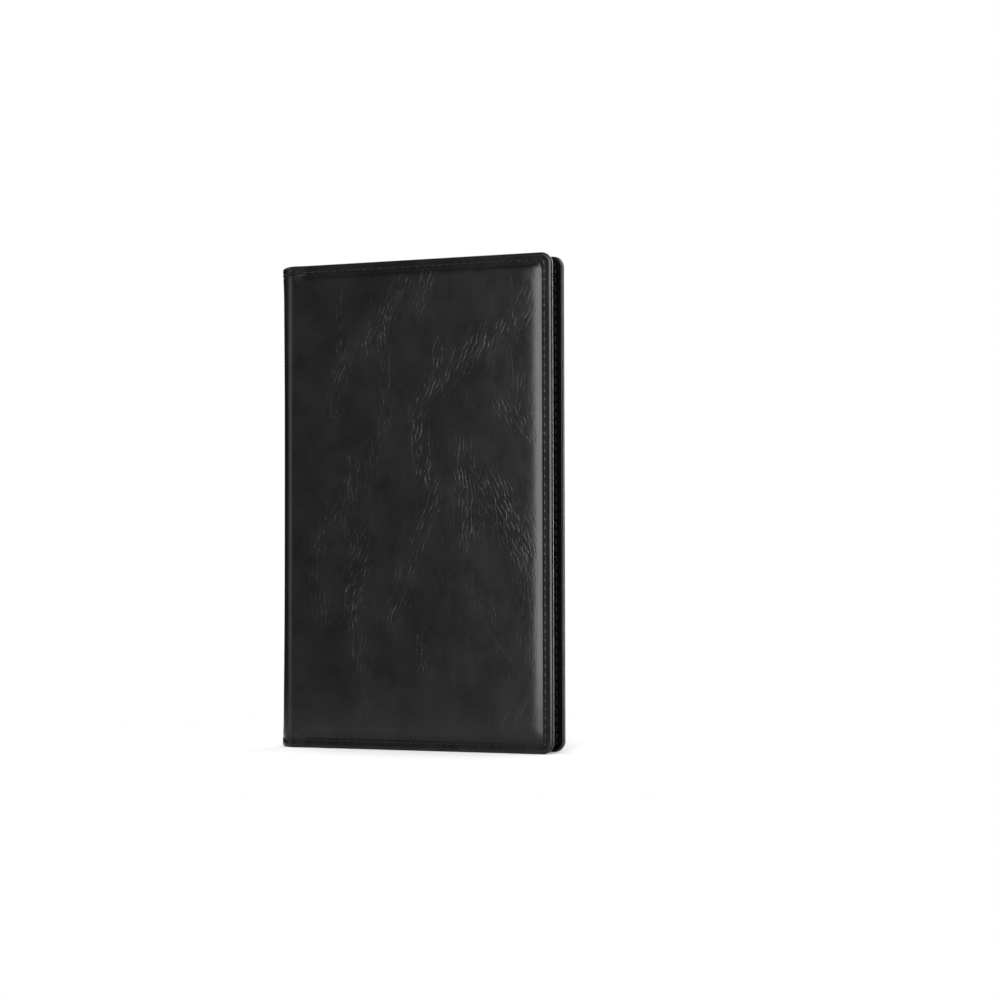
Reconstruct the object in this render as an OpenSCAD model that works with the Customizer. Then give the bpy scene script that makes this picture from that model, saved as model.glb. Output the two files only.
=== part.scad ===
// Folio case for an 8 inch tablet, closed and standing on its bottom edge.
// The spine is at -X, the free edge at +X, the front cover at -Y and the back cover at +Y.
// The origin is on the surface it stands on, below the middle of the case.
// Layers are given as distances from the mid plane between the covers. Both covers have
// the same board and hem. The back cover's leather steps down to a hinge strip beside its
// board, and the front cover's runs on flat into the fold.

/* [Case] */
// Height of the case, along the spine
case_h = 220; // [200:1:240]
// Width of the closed case, from the spine to the free edge
case_w = 134; // [124:1:150]
// Thickness of the closed case
case_t = 18; // [17:0.5:21]
// Radius of the covers' free corners
corner_r = 5; // [4:0.5:8]

/* [Cover layers] */
// Thickness of the outer leather
leather_t = 1; // [0.8:0.1:1.2]
// Thickness of the padding foam
foam_t = 0.6; // [0.4:0.1:0.8]
// Thickness of the stiff board
board_t = 1.3; // [1:0.1:1.6]
// Thickness of the lining sheet
lining_t = 0.6; // [0.4:0.1:0.6]
// How far the lining's turned edge stays inside the leather's edge
lining_inset = 0.2; // [0.1:0.1:0.6]
// Distance from the cover's edge to the raised, padded panel
pad_inset = 4.5; // [4:0.5:8]
// Corner radius of the padded panel
pad_r = 3; // [2:0.5:6]

/* [Spine and hinges] */
// How far the back cover's leather steps in from the padded face to its hinge strip
hinge_step = 1.6; // [1.2:0.1:2]
// Outer radius of the fold between spine and cover
fold_r = 5; // [4.5:0.5:5]
// Angle of each fold that belongs to the stiff spine, the rest bends
stiff_angle = 30; // [25:1:35]
// Distance from the spine's outer face to the foot of the slope beside the board
slope_foot = 7.9; // [6:0.1:9]
// Distance from the spine's outer face to the top of that slope
slope_top = 11.5; // [11:0.1:14]
// Distance from the spine's outer face to the board's edge
board_start = 9.5; // [9:0.1:11]

/* [Port slot and sound holes] */
// Width of the slot in the spine
slot_w = 6; // [5:0.1:6]
// Length of the slot in the spine
slot_l = 18; // [12:1:30]
// Offset of the slot towards the front cover
slot_offset = 1; // [0:0.1:1]
// Diameter of a sound hole
hole_d = 3.8; // [2:0.1:4]
// Distance from the spine's outer face to the row of sound holes
hole_row = 18.4; // [17:0.1:24]
// Distance from the middle of the case to the first hole of each half
hole_first = 10.9; // [9:0.1:13]
// Pitch of the holes in a group of three
hole_pitch = 9.3; // [7:0.1:10]
// Distance between the neighbouring holes of two groups
hole_group_gap = 13.3; // [11:0.1:15]

/* [Stitching] */
// Distance from the leather's edge to the outer side of the seam
seam_inset = 2.4; // [2:0.1:3]
// Width of the thread
thread_w = 0.7; // [0.4:0.1:0.8]
// Depth of the groove that the thread lies in
thread_t = 0.35; // [0.2:0.05:0.5]

/* [Tablet tray] */
// Gap from the spine's outer face to the tray
tray_left = 3.8; // [3.7:0.1:5]
// Gap from the free edge to the tray
tray_right = 4.5; // [3:0.1:6]
// Gap from the top and bottom edges to the tray
tray_end = 4; // [3:0.5:8]
// Thickness of the tray's floor
tray_floor = 1.2; // [1:0.1:1.6]
// Thickness of the tray's walls
tray_wall = 1.4; // [1:0.1:1.6]
// Thickness of the wall at the free edge, which holds the catch plates
catch_wall = 2.6; // [2.4:0.1:3]
// Outer corner radius of the tray
tray_r = 6; // [5:0.5:8]
// How far the corner lips reach over the tablet
lip_w = 1.2; // [0.8:0.1:1.6]
// Length of a corner lip along each wall
lip_l = 16; // [10:1:24]
// Thickness of a lip
lip_t = 1; // [0.8:0.1:1.2]
// Clearance between the closed front cover and the tray's rim
rim_gap = 0.4; // [0.3:0.1:0.6]
// Thickness of the adhesive sheet under the tray
adhesive_t = 0.2; // [0.1:0.1:0.3]

/* [Magnets] */
// Distance of the catch plates and closure magnets from the middle of the free edge
catch_spread = 55; // [50:1:70]
// Length of a catch plate or closure magnet
magnet_l = 14; // [8:1:20]

/* [Hidden] */
$fn = 64;
cut = 1; // how far a cutter runs past a face

mid_z = case_h / 2;
spine_x = -case_w / 2;
edge_x = case_w / 2;

// depths of the layers, measured from the mid plane
face_y = case_t / 2;
foam_top_y = face_y - leather_t;
hem_y = foam_top_y - foam_t + leather_t;
board_top_y = foam_top_y - foam_t;
board_y = board_top_y - board_t;
inner_y = board_y - lining_t;
hinge_y = face_y - hinge_step;
hinge_leather_y = hinge_y - leather_t;

// lines across the cover, from the spine towards the free edge
fold_x = spine_x + fold_r;
fold_y = hinge_y - fold_r;
front_fold_y = face_y - fold_r;
foot_x = spine_x + slope_foot;
top_x = spine_x + slope_top;
board_x = spine_x + board_start;
foam_x = top_x + leather_t;
hem_x = board_x + 1; // where the front cover's hem starts
hole_x = spine_x + hole_row;

// the tray
tray_lo = [spine_x + tray_left, tray_end];
tray_hi = [edge_x - tray_right, case_h - tray_end];
bay_lo = [tray_lo[0] + tray_wall, tray_lo[1] + tray_wall];
bay_hi = [tray_hi[0] - catch_wall, tray_hi[1] - tray_wall];
bay_r = tray_r - tray_wall;
tray_back_y = inner_y - adhesive_t;
floor_y = tray_back_y - tray_floor;
rim_y = -(inner_y - rim_gap);
lip_y = rim_y + lip_t;
port_notch = 24;       // length of the notch for the plug in the spine-side wall
port_notch_y = 2.5;    // depth of that notch's floor
button_window = 50;    // length of the window in the free-edge wall
button_window_y = 1.5; // depth of that window's floor
key_notch = [20, 50];  // where the top wall's notch starts and ends along X
sound_slot_w = 5;
sound_slot_end = 4;    // how far a sound slot runs past the last hole

// adhesive sheet, catch plates and magnets
adhesive_lo = [hole_x + 7, 12];
adhesive_hi = [tray_hi[0] - 6, case_h - 12];
plate_t = 1.2;
plate_depth = 4;
magnet_w = 5;
wake_size = [8, 4];
wake_at = [35, case_h - 22];

hole_offsets = [for (group = [0, 1], i = [0 : 2])
    hole_first + i * hole_pitch + group * (2 * hole_pitch + hole_group_gap)];
hole_heights = [for (side = [-1, 1], offset = hole_offsets) mid_z + side * offset];
catch_heights = [mid_z - catch_spread, mid_z + catch_spread];

// an outline in X and Z, extruded from one depth to another
module slab(y_lo, y_hi)
    translate([0, y_hi, 0]) rotate([90, 0, 0]) linear_extrude(y_hi - y_lo) children();

module rectangle(lo, hi) translate(lo) square(hi - lo);

module round_rectangle(lo, hi, r) {
    rectangle(lo + [r, 0], hi - [r, 0]);
    rectangle(lo + [0, r], hi - [0, r]);
    for (x = [lo[0] + r, hi[0] - r], z = [lo[1] + r, hi[1] - r]) translate([x, z]) circle(r);
}

// an outline on a cover, a distance inside its edges, square towards the spine
// and rounded at the free corners
module cover_outline(start_x, inset, r) {
    end_x = edge_x - inset;
    rectangle([start_x, inset], [end_x - r, case_h - inset]);
    rectangle([start_x, inset + r], [end_x, case_h - inset - r]);
    for (z = [inset + r, case_h - inset - r]) translate([end_x - r, z]) circle(r);
}

module board_outline()
    cover_outline(board_x, lining_inset + lining_t, corner_r - lining_inset - lining_t);

module foam_outline(start_x) cover_outline(start_x, pad_inset + leather_t, pad_r - leather_t);

module front_side() mirror([0, 1, 0]) children();

module sound_holes()
    for (z = hole_heights)
        translate([hole_x, 0, z]) rotate([-90, 0, 0]) cylinder(d = hole_d, h = case_t);

// ---- cover layers, drawn on the back cover's side ----

// the leather with its padding: flat on the board, sloping down to the hinge strip
module cover_skin()
    intersection() {
        linear_extrude(case_h) polygon([
            [fold_x, hinge_leather_y], [fold_x, hinge_y], [foot_x, hinge_y], [top_x, face_y],
            [edge_x, face_y], [edge_x, board_top_y], [board_x, board_top_y],
            [board_x, hinge_leather_y]
        ]);
        union() {
            slab(0, hem_y) cover_outline(fold_x, 0, corner_r);
            slab(0, face_y) cover_outline(fold_x, pad_inset, pad_r);
        }
    }

// the front cover's leather: flat from the fold to the hem
module front_cover_skin() {
    slab(foam_top_y, face_y) rectangle([fold_x, 0], [board_x, case_h]);
    slab(board_top_y, face_y) rectangle([board_x, 0], [hem_x, case_h]);
    slab(board_top_y, hem_y) cover_outline(hem_x, 0, corner_r);
    slab(board_top_y, face_y) cover_outline(hem_x, pad_inset, pad_r);
}

// the seam around a cover: along the hem, and on the strip beside the fold
module cover_seam(start_x, end_x, y) {
    slab(y - thread_t, y)
        intersection() {
            difference() {
                cover_outline(start_x, seam_inset, corner_r - seam_inset);
                cover_outline(start_x - cut, seam_inset + thread_w, corner_r - seam_inset - thread_w);
            }
            rectangle([start_x, 0], [end_x, case_h]);
        }
}

module cover_thread() {
    cover_seam(fold_x, foot_x - thread_w, hinge_y);
    cover_seam(top_x, edge_x, hem_y);
}

module cover_leather()
    difference() {
        cover_skin();
        cover_foam();
        cover_thread();
    }

module front_cover_thread() {
    cover_seam(fold_x, hem_x - thread_w, face_y);
    cover_seam(hem_x, edge_x, hem_y);
}

module front_cover_leather()
    difference() {
        front_cover_skin();
        front_cover_foam();
        front_cover_thread();
    }

module cover_foam() slab(board_top_y, foam_top_y) foam_outline(foam_x);

module front_cover_foam() slab(board_top_y, foam_top_y) foam_outline(board_x);

module cover_board() slab(board_y, board_top_y) board_outline();

// the lining is turned over the board's edge, up to the leather
module board_lining()
    difference() {
        slab(inner_y, board_top_y) cover_outline(board_x, lining_inset, corner_r - lining_inset);
        cover_board();
    }

// it runs on under the leather to the fold
module strip_lining(y_lo, y_hi, end_x)
    slab(y_lo, y_hi) rectangle([end_x[0], lining_inset], [end_x[1], case_h - lining_inset]);

module cover_lining() {
    board_lining();
    strip_lining(hinge_leather_y - lining_t, hinge_leather_y, [fold_x, board_x]);
}

// on the front cover it first goes up along the board's edge
module front_cover_lining() {
    board_lining();
    strip_lining(inner_y, foam_top_y, [board_x - lining_t, board_x]);
    strip_lining(foam_top_y - lining_t, foam_top_y, [fold_x, board_x - lining_t]);
}

// ---- spine and folds ----

// one layer of a fold, seen from above, between two angles from the cover's plane
module fold_layer(centre_y, depth, thickness, from, to)
    translate([fold_x, centre_y]) intersection() {
        difference() {
            circle(fold_r - depth);
            circle(fold_r - depth - thickness);
        }
        polygon([[0, 0], for (a = [from, (from + to) / 2, to]) 2 * fold_r * [-sin(a), cos(a)]]);
    }

// one layer of the stiff spine, seen from above: its flat face and the start of both folds
module spine_layer(depth, thickness) {
    translate([spine_x + depth, -front_fold_y]) square([thickness, fold_y + front_fold_y]);
    fold_layer(fold_y, depth, thickness, 90 - stiff_angle, 90);
    mirror([0, 1]) fold_layer(front_fold_y, depth, thickness, 90 - stiff_angle, 90);
}

module port_slot()
    translate([spine_x - cut, -slot_offset, mid_z]) rotate([0, 90, 0]) {
        length = fold_r + cut;
        translate([-(slot_l - slot_w) / 2, -slot_w / 2, 0]) cube([slot_l - slot_w, slot_w, length]);
        for (side = [-1, 1])
            translate([side * (slot_l - slot_w) / 2, 0, 0]) cylinder(d = slot_w, h = length);
    }

module spine_thread()
    for (z = [seam_inset, case_h - seam_inset - thread_w])
        translate([0, 0, z]) linear_extrude(thread_w) spine_layer(0, thread_t);

module fold_leather(centre_y)
    linear_extrude(case_h) fold_layer(centre_y, 0, leather_t, 0, 90 - stiff_angle);

module fold_lining(centre_y)
    translate([0, 0, lining_inset]) linear_extrude(case_h - 2 * lining_inset)
        fold_layer(centre_y, leather_t, lining_t, 0, 90 - stiff_angle);

// ---- tray ----

// where the lips reach over the bay's corners
module lip_outline()
    intersection() {
        difference() {
            round_rectangle(bay_lo, bay_hi, bay_r);
            round_rectangle(bay_lo + [lip_w, lip_w], bay_hi - [lip_w, lip_w], bay_r - lip_w);
        }
        for (x = [bay_lo[0], bay_hi[0] - lip_l], z = [bay_lo[1], bay_hi[1] - lip_l])
            translate([x, z]) square(lip_l);
    }

module tray_notches() {
    slab(rim_y - cut, port_notch_y)
        rectangle([tray_lo[0] - cut, mid_z - port_notch / 2], [bay_lo[0] + cut, mid_z + port_notch / 2]);
    slab(rim_y - cut, button_window_y)
        rectangle([bay_hi[0] - cut, mid_z - button_window / 2],
                  [tray_hi[0] + cut, mid_z + button_window / 2]);
    slab(rim_y - cut, button_window_y)
        rectangle([key_notch[0], bay_hi[1] - cut], [key_notch[1], tray_hi[1] + cut]);
}

module sound_slots() {
    slot_lo = hole_first - sound_slot_end;
    slot_hi = hole_offsets[len(hole_offsets) - 1] + sound_slot_end;
    slab(floor_y - cut, tray_back_y + cut)
        for (z = [mid_z - slot_hi, mid_z + slot_lo])
            round_rectangle([hole_x - sound_slot_w / 2, z],
                            [hole_x + sound_slot_w / 2, z + slot_hi - slot_lo], sound_slot_w / 2 - 0.1);
}

module plates()
    for (z = catch_heights)
        slab(rim_y, rim_y + plate_depth)
            rectangle([bay_hi[0] + (catch_wall - plate_t) / 2, z - magnet_l / 2],
                      [bay_hi[0] + (catch_wall + plate_t) / 2, z + magnet_l / 2]);

// ---- magnets in the front cover's board, drawn on the back cover's side ----

module magnets()
    for (z = catch_heights)
        slab(board_y, board_top_y)
            rectangle([bay_hi[0] + (catch_wall - magnet_w) / 2, z - magnet_l / 2],
                      [bay_hi[0] + (catch_wall + magnet_w) / 2, z + magnet_l / 2]);

module wake_bar()
    slab(board_y, board_top_y) rectangle(wake_at - wake_size / 2, wake_at + wake_size / 2);

// ---- nodes ----

module back_leather() color("#181818") difference() { cover_leather(); sound_holes(); }
module back_foam() color("#5a5a5e") difference() { cover_foam(); sound_holes(); }
module back_board() color("#8a8378") difference() { cover_board(); sound_holes(); }
module back_lining() color("#2a2a2c") difference() { cover_lining(); sound_holes(); }
module back_stitching() color("#0c0c0c") cover_thread();

module tray_adhesive()
    color("#c9c4b0") slab(tray_back_y, inner_y) rectangle(adhesive_lo, adhesive_hi);

module tablet_tray()
    color("#101012") difference() {
        slab(rim_y, tray_back_y) round_rectangle(tray_lo, tray_hi, tray_r);
        slab(lip_y, floor_y) round_rectangle(bay_lo, bay_hi, bay_r);
        slab(rim_y - cut, lip_y)
            difference() {
                round_rectangle(bay_lo, bay_hi, bay_r);
                lip_outline();
            }
        tray_notches();
        sound_slots();
        plates();
    }

module catch_plates() color("#9a9ca0") plates();

module spine_leather()
    color("#181818") difference() {
        linear_extrude(case_h) spine_layer(0, leather_t);
        port_slot();
        spine_thread();
    }

module spine_lining()
    color("#2a2a2c") difference() {
        translate([0, 0, lining_inset]) linear_extrude(case_h - 2 * lining_inset)
            spine_layer(leather_t, lining_t);
        port_slot();
    }

module spine_stitching() color("#0c0c0c") spine_thread();

module back_fold_leather() color("#181818") fold_leather(fold_y);
module back_fold_lining() color("#2a2a2c") fold_lining(fold_y);
module front_fold_leather() color("#181818") front_side() fold_leather(front_fold_y);
module front_fold_lining() color("#2a2a2c") front_side() fold_lining(front_fold_y);

module front_leather() color("#181818") front_side() front_cover_leather();
module front_foam() color("#5a5a5e") front_side() front_cover_foam();
module front_board()
    color("#8a8378") front_side() difference() { cover_board(); magnets(); wake_bar(); }
module front_lining() color("#2a2a2c") front_side() front_cover_lining();
module front_stitching() color("#0c0c0c") front_side() front_cover_thread();
module closure_magnets() color("#b4b6ba") front_side() magnets();
module wake_magnet() color("#b4b6ba") front_side() wake_bar();

back_leather();
back_foam();
back_board();
back_lining();
back_stitching();
tray_adhesive();
tablet_tray();
catch_plates();
spine_leather();
spine_lining();
spine_stitching();
back_fold_leather();
back_fold_lining();
front_fold_leather();
front_fold_lining();
front_leather();
front_foam();
front_board();
front_lining();
front_stitching();
closure_magnets();
wake_magnet();
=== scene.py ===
import math

import bmesh
import bpy
import numpy as np
from mathutils import Matrix, Vector


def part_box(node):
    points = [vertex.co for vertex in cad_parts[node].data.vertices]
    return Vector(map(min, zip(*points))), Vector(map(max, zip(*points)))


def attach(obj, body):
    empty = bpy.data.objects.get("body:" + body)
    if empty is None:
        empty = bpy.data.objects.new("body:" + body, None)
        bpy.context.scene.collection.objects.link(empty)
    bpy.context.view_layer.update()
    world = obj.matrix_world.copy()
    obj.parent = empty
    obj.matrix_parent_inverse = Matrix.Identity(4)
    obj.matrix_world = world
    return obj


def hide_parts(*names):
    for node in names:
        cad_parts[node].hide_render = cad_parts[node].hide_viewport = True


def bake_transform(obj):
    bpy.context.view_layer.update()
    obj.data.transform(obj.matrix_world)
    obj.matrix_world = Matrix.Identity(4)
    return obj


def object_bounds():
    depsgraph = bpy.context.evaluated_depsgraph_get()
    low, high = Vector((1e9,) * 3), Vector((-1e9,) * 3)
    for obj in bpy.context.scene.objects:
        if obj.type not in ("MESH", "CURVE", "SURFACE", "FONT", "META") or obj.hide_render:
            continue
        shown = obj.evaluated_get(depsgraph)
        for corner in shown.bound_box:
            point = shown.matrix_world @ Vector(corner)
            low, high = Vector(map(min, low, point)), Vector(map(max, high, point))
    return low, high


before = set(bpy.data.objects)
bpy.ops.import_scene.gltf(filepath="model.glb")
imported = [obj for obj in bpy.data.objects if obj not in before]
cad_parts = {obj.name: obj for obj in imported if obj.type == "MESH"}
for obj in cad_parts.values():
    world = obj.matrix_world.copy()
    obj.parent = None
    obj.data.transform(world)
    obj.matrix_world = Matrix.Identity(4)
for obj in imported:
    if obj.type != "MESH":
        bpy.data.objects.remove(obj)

cad_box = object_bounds()
MM = 0.001


def span(node):
    """Lowest and highest corner of a CAD node, in millimetres."""
    low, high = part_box(node)
    return [v / MM for v in low], [v / MM for v in high]


# ---- sizes, from the frame where a node gives them ----
CASE_H = (cad_box[1][2] - cad_box[0][2]) / MM
SPINE_X = cad_box[0][0] / MM
EDGE_X = cad_box[1][0] / MM
FACE_Y = cad_box[1][1] / MM
MID_Z = CASE_H / 2
CORNER_R = 5.0
HINGE_R = 5.0         # outer radius of the CAD folds beside the spine
FRONT_FOLD_R = 8.0    # the front cover's leather runs on flat into a wider fold
HINGE_STEP = 1.6      # the back cover's leather steps in this far beside its board
SPLIT = 2.35          # where the two skins meet on the spine, towards the back

BOARD_X = span("front_board")[0][0]
BOARD_Y = span("back_board")[0][1]        # the board's faces, from the mid plane
BOARD_TOP_Y = span("back_board")[1][1]
SHOW_Y = span("back_lining")[0][1]        # the lining's visible face on the board
LEATHER_T = 1.0
LINING_T = 0.6
LINING_INSET = 0.1
LINING_ROUND = 0.31   # the lining's outermost part, rounded on its hidden side
LINING_TURN = 0.61    # up to here it reaches round the board to the board's outer face
HEM_Y = BOARD_TOP_Y + LEATHER_T
PAD_INSET = 4.6
BORDER = 5.0          # width of the lining's smooth border

SEAM = 3.25           # seam from the leather's edge
PAD_FOOT = 4.7        # foot of the padded panel, from the leather's edge
PAD_CORNER = 4.0      # how widely the padded panel's corners are rounded
STITCH = 3.75         # length of one stitch and its gap
THREAD_R = 0.27
EDGE_ROLL = 1.4       # how far from its edge the leather is rounded over
EDGE_DROP = 0.62      # how deep the rounded edge falls
CUT_EDGE = 0.21       # width of the roll's outermost, raw part
HEM_FALL = 0.42       # the hem sinks towards the foot of the padded panel
CROWN_REACH = 1.7     # how gradually the padded panel rises from its foot
GROOVE_W = 0.3        # half the width of the groove that the seam lies in
GROOVE_D = 0.06       # its depth under the stitches
NEEDLE_D = 0.24       # how much deeper it is at the needle holes
SEAM_PULL = 0.22      # how far the seam pulls down the leather on the spine and the folds
WAIST = 0.6           # how far the folds are drawn in at mid height
WAIST_REACH = 45.0    # how far from the ends that takes to build up
FLARE = 0.65          # how far the hems stand out at the folds' ends
FLARE_REACH = 8.0     # how far from the ends they do
SPINE_SHRINK = 0.005  # the spine is shorter than the covers by this share

HOLE_R = 1.9
HOLE_X = SPINE_X + 18.4
HOLE_OFFSETS = (10.9, 20.2, 29.5, 42.8, 52.1, 61.4)     # from mid height, up and down
SLOT_R = 3.0
SLOT_A = 1.0          # middle of the slot, along the leather towards the front
SLOT_HALF = 6.0       # half the straight part of the slot


class Cover:
    """One cover. a is measured along its leather, from the spine's middle to the free edge,
    z upwards, and a level n outwards from the leather's face beside the fold."""

    def __init__(self, side, name, strip_y, fold_r, foot_x, top_x, pad_x, start):
        self.side = side                          # -1 for the front, 1 for the back
        self.name = name
        self.body = f"{name}_cover"
        self.strip_y = strip_y                    # outer face beside the fold
        self.fold_r = fold_r                      # the leather's radius round the fold
        self.fold_x = SPINE_X + fold_r
        self.foot_x = foot_x                      # where the padded panel's profile starts
        self.top_x = top_x                        # where it has its full height
        self.pad_x = pad_x                        # where the foam starts
        self.start = start                        # where its skin starts on the spine
        self.flat = strip_y - fold_r              # where the spine ends and the fold starts
        self.fold_end = self.flat + fold_r * math.pi / 2
        self.end_a = self.fold_end + EDGE_X - self.fold_x

    def level(self, y):
        """Level of a distance from the mid plane."""
        return y - self.strip_y

    def along(self, x):
        """Place along the leather of a point at x on the cover."""
        return x - self.fold_x + self.fold_end

    def across(self, a):
        """x of a place along the leather, as if the fold lay flat."""
        return a - self.fold_end + self.fold_x

    def on_panel(self, a):
        """0 on the spine and beside the fold, 1 on the padded panel."""
        return smooth((self.across(a) - self.foot_x) / (self.top_x - self.foot_x))


def smooth(value):
    """Smooth step from 0 to 1."""
    value = np.clip(value, 0, 1)
    return value * value * (3 - 2 * value)


def bell(value, middle, width):
    """1 at the middle, falling to 0 on both sides."""
    return np.exp(-((value - middle) / width) ** 2)


def quarter_round(t, width):
    """A quarter circle from 0 at the edge to 1 at the given width."""
    return np.sqrt(1 - np.clip(1 - t / width, 0, 1) ** 2)


FRONT = Cover(side=-1, name="front", strip_y=FACE_Y, fold_r=FRONT_FOLD_R,
              foot_x=BOARD_X - 2.5, top_x=BOARD_X + 6, pad_x=BOARD_X + 0.3, start=-SPLIT)
BACK = Cover(side=1, name="back", strip_y=FACE_Y - HINGE_STEP, fold_r=HINGE_R,
             foot_x=SPINE_X + 7.6, top_x=SPINE_X + 12.6, pad_x=SPINE_X + 13.2, start=SPLIT)

# ---- the developed sheet and its place in space ----


def lines(marks, step):
    """Grid lines through all marks, with even cells of about step between them."""
    marks = sorted(set(round(float(m), 4) for m in marks))
    made = [marks[0]]
    for low, high in zip(marks, marks[1:]):
        cells = max(1, math.ceil((high - low) / step - 0.1))
        made += [low + (high - low) * k / cells for k in range(1, cells + 1)]
    return np.array(made)


def waist(z):
    """How far the folds are drawn in between the stiff hems, which flare out a little."""
    end = np.minimum(z, CASE_H - z)
    return WAIST * (1 - bell(end, 0, WAIST_REACH)) - FLARE * bell(end, 0, FLARE_REACH)


def place(a, z, n, cover):
    """A developed point in space."""
    r = cover.fold_r
    turn = np.clip((a - cover.flat) / r, 0, math.pi / 2)
    on_spine = np.cos(turn) ** 2
    x = cover.fold_x - (r + n) * np.cos(turn) + np.maximum(0, a - cover.fold_end)
    y = cover.flat + (r + n) * np.sin(turn) + np.minimum(0, a - cover.flat)
    z = MID_Z + (z - MID_Z) * (1 - SPINE_SHRINK * on_spine)
    return np.stack([x + waist(z) * on_spine, cover.side * y, z], axis=-1) * MM


def outline(a, z, inset, cover):
    """The square grid pressed into the rounded corners, and the distance to the outline."""
    edge, low, high = cover.end_a - inset, inset, CASE_H - inset
    r = CORNER_R - inset
    p = np.clip((a - (edge - r)) / r, 0, 1)
    up = np.clip((z - (high - r)) / r, 0, 1)
    down = np.clip((low + r - z) / r, 0, 1)
    q = np.maximum(up, down)
    round_p, round_q = p * np.sqrt(1 - q * q / 2), q * np.sqrt(1 - p * p / 2)
    corner = (p > 0) & (q > 0)
    new_a = np.where(corner, edge - r + r * round_p, a)
    turned = np.where(up > 0, high - r + r * round_q, low + r - r * round_q)
    new_z = np.where(corner, turned, z)
    t = np.minimum(np.minimum(edge - a, z - low), high - z)
    t = np.where(corner, r * (1 - np.hypot(round_p, round_q)), t)
    return new_a, new_z, np.maximum(t, 0)


# ---- the seam ----


class Seam:
    """The line of stitches round one cover, from the split on the spine and back to it."""

    def __init__(self, cover):
        self.start = cover.start
        self.c = cover.end_a - CORNER_R           # middle of the rounded corners
        self.top = CASE_H - CORNER_R
        self.r = CORNER_R - SEAM
        self.run = self.c - self.start            # along the bottom
        self.arc = self.r * math.pi / 2
        self.rise = self.top - CORNER_R
        self.length = 2 * self.run + 2 * self.arc + self.rise
        self.count = round(self.length / STITCH)
        self.pitch = self.length / self.count

    def at(self, s):
        """Developed point at the distance s along the seam."""
        edges = np.cumsum([self.run, self.arc, self.rise, self.arc])
        first = (s - edges[0]) / self.r
        second = (s - edges[2]) / self.r
        parts = [s < edges[0], s < edges[1], s < edges[2], s < edges[3]]
        a = np.select(parts, [self.start + s, self.c + self.r * np.sin(first),
                              self.c + self.r + 0 * s, self.c + self.r * np.cos(second)],
                      self.c - (s - edges[3]))
        z = np.select(parts, [SEAM + 0 * s, CORNER_R - self.r * np.cos(first),
                              CORNER_R + s - edges[1], self.top + self.r * np.sin(second)],
                      CASE_H - SEAM)
        return a, z

    def near(self, a, z):
        """Distance along the seam of the seam's nearest point."""
        low_turn = np.arctan2(np.maximum(a - self.c, 0), np.maximum(CORNER_R - z, 1e-6))
        high_turn = np.arctan2(np.maximum(z - self.top, 0), np.maximum(a - self.c, 1e-6))
        from_edge = self.c + CORNER_R - a
        bottom = (a <= self.c) & (z < MID_Z) & (z < from_edge)
        crown = (a <= self.c) & (z >= MID_Z) & (CASE_H - z < from_edge)
        base = self.run + self.arc
        return np.select(
            [bottom, crown, z < CORNER_R, z > self.top],
            [a - self.start, base + self.rise + self.arc + self.c - a,
             self.run + self.r * low_turn, base + self.rise + self.r * high_turn],
            base + z - CORNER_R)

    def hole(self, a, z):
        """1 at the needle holes, between two stitches, and 0 at the stitches' middles."""
        return (0.5 + 0.5 * np.cos(2 * math.pi * self.near(a, z) / self.pitch)) ** 2


for one in (FRONT, BACK):
    one.seam = Seam(one)

# ---- the leather's shape ----

# creases on the front cover: x and z of both ends, width and strength
FRONT_CREASES = (
    (-3, 214, -12, 196, 4, 1.0), (-12, 196, -35, 170, 4.5, 1.0), (-35, 170, -40, 150, 4, 0.9),
    (8, 214, 2, 196, 3.5, 0.9), (-36, 205, -36, 172, 3, 0.7), (-14, 186, -12, 150, 3, 0.8),
    (-12, 150, -18, 138, 3.5, 0.8), (58, 206, 53, 190, 4.5, 1.0), (54, 192, 28, 178, 6, 1.0),
    (28, 178, 7, 157, 5, 1.0), (13, 184, 13, 166, 3, 0.9), (2, 150, 6, 122, 4.5, 1.0),
    (43, 153, 58, 141, 3.5, 1.0), (51, 166, 53, 150, 4, 0.6), (25, 133, 28, 96, 5, 0.9),
    (-28, 128, -31, 110, 4, 0.9), (-19, 134, -21, 118, 4.5, 0.7), (15, 118, 4, 98, 4.5, 1.0),
    (4, 98, -8, 58, 5, 0.9), (-38, 108, -47, 90, 5, 0.9), (-31, 106, -30, 92, 4.5, 0.8),
    (39, 118, 56, 87, 7, 1.0), (-24, 94, -29, 70, 6, 1.0), (-29, 70, -27, 44, 4.5, 0.9),
    (-47, 78, -44, 58, 4.5, 0.8), (4, 52, 7, 38, 3, 0.8), (-25, 42, -22, 20, 4, 0.7),
    (-24, 18, -32, 7, 4, 0.8), (42, 12, 58, 17, 5, 1.0), (56, 90, 56, 38, 4.5, 0.6),
    (28, 90, 30, 72, 4, 0.5), (36, 66, 44, 36, 5, 0.45), (14, 84, 20, 62, 4, 0.4),
)


def back_creases():
    """Crease clusters for the back cover, laid out the same way at random."""
    rng = np.random.default_rng(11)
    made = []
    for _ in range(34):
        x, z = rng.uniform(-56, 60), rng.uniform(8, 212)
        length, lean = rng.uniform(10, 38), rng.uniform(-0.25, 0.8)
        made.append((x, z, x - length * lean, z - length,
                     rng.uniform(3, 6), rng.uniform(0.5, 1.0)))
    return made


FRONT.creases = FRONT_CREASES
BACK.creases = back_creases()
LEANS = (-0.45, 0.0, 0.4)         # of the three kinds of creases, from upright, in radians


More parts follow.
